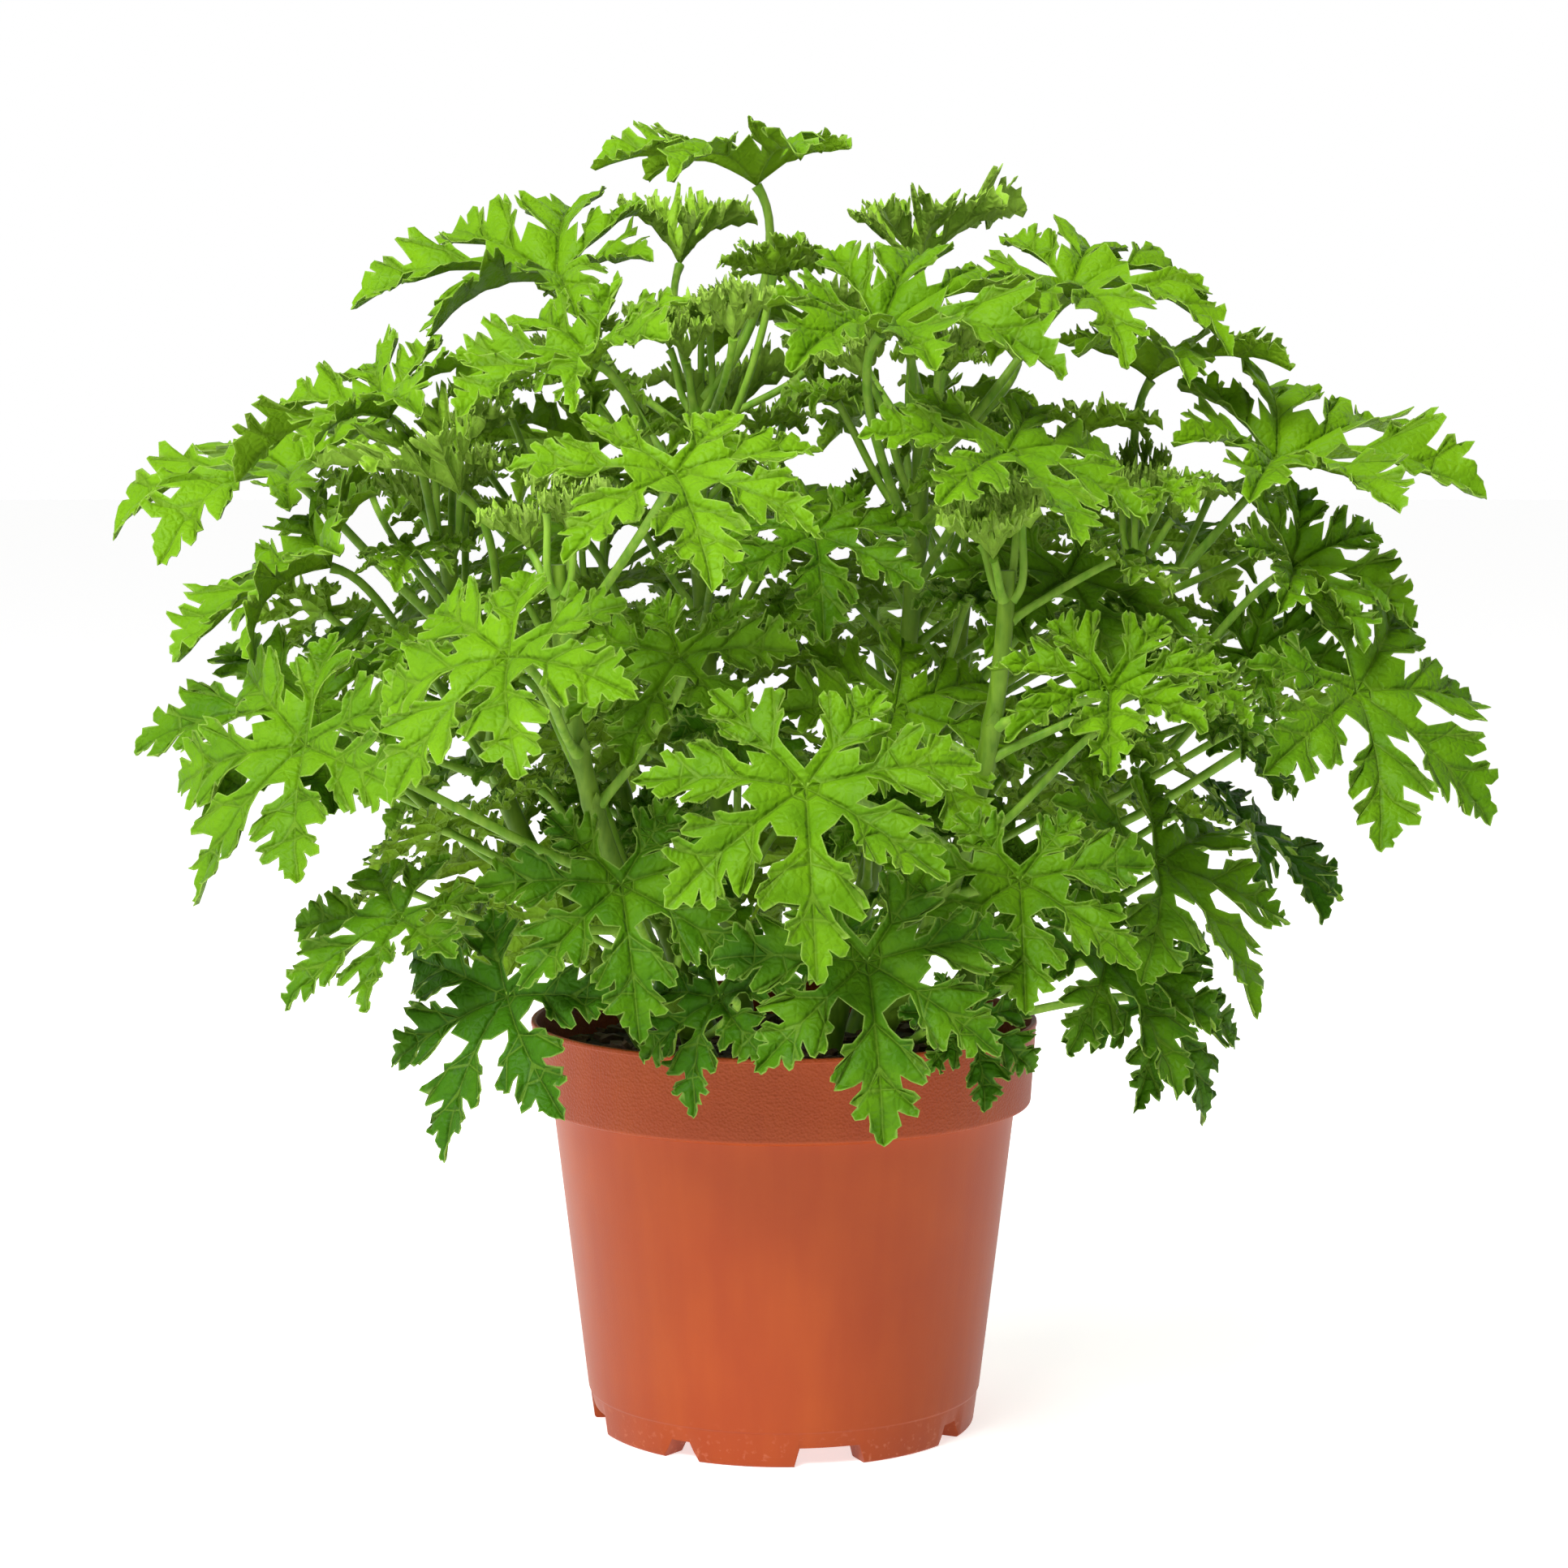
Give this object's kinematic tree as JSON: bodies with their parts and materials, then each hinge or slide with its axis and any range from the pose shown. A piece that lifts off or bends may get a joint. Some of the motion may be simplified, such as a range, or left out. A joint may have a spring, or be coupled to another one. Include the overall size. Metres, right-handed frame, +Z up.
{
  "type": "potted citronella geranium",
  "caption": "Bushy scented geranium with deeply lobed leaves on green shoots, planted in potting mix in a tapered, rimmed terracotta-coloured nursery pot.",
  "frame": {"origin": "on the surface that the pot stands on, at the middle of the plant's plan", "axes": "+Z up; the front of the plant faces -Y; +X to the right seen from the front"},
  "size_m": [0.4601, 0.4103, 0.4266],
  "materials": {
    "terracotta_plastic": "injection-moulded polypropylene, terracotta orange, satin with a faint grain on the rim band",
    "potting_mix": "damp dark peat and bark potting mix, rough and crumbly",
    "green_stem": "living green shoot and leaf stalks, softly hairy, satin",
    "leaf": "living leaf, fresh green with pale veins and a pale yellowish margin, matt and softly hairy, lets light through",
    "young_leaf": "young leaf, bright yellow-green, crinkled, pale margin, matt and softly hairy"
  },
  "bodies": {
    "root": {"leaf_back_left_1": "leaf", "leaf_back_left_2": "leaf", "leaf_back_left_3": "leaf", "leaf_back_left_4": "leaf", "leaf_back_right_1": "leaf", "leaf_back_right_2": "leaf", "leaf_back_right_3": "leaf", "leaf_back_right_4": "leaf", "leaf_back_right_5": "leaf", "leaf_front_left_1": "leaf", "leaf_front_left_2": "leaf", "leaf_front_left_3": "leaf", "leaf_front_left_4": "leaf", "leaf_front_left_5": "leaf", "leaf_front_left_6": "leaf", "leaf_front_left_7": "leaf", "leaf_front_left_8": "leaf", "leaf_front_right_1": "leaf", "leaf_front_right_2": "leaf", "leaf_front_right_3": "leaf", "leaf_front_right_4": "leaf", "leaf_front_right_5": "leaf", "leaf_front_right_6": "leaf", "leaf_front_right_7": "leaf", "leaf_front_right_8": "leaf", "leaf_front_right_9": "leaf", "leaf_left_1": "leaf", "leaf_left_2": "leaf", "leaf_left_3": "leaf", "leaf_left_4": "young_leaf", "leaf_left_5": "leaf", "leaf_left_6": "leaf", "leaf_right_1": "leaf", "leaf_right_2": "leaf", "leaf_right_3": "leaf", "leaf_right_4": "leaf", "leaf_right_5": "leaf", "leaf_right_6": "leaf", "leaf_right_7": "leaf", "leaf_top_left_1": "leaf", "leaf_top_left_2": "leaf", "leaf_top_left_3": "leaf", "leaf_top_left_4": "leaf", "leaf_top_left_5": "leaf", "leaf_top_right_1": "leaf", "leaf_top_right_2": "leaf", "leaf_top_right_3": "leaf", "leaf_top_right_4": "leaf", "leaf_top_right_5": "young_leaf", "leaf_top_right_6": "leaf", "pot": "terracotta_plastic", "potting_mix": "potting_mix", "shoot_back_left": "green_stem", "shoot_back_right": "green_stem", "shoot_front_left": "green_stem", "shoot_front_right": "green_stem", "shoot_left": "green_stem", "shoot_right": "green_stem", "shoot_top_left": "green_stem", "shoot_top_right": "green_stem"}
  },
  "joints": []
}
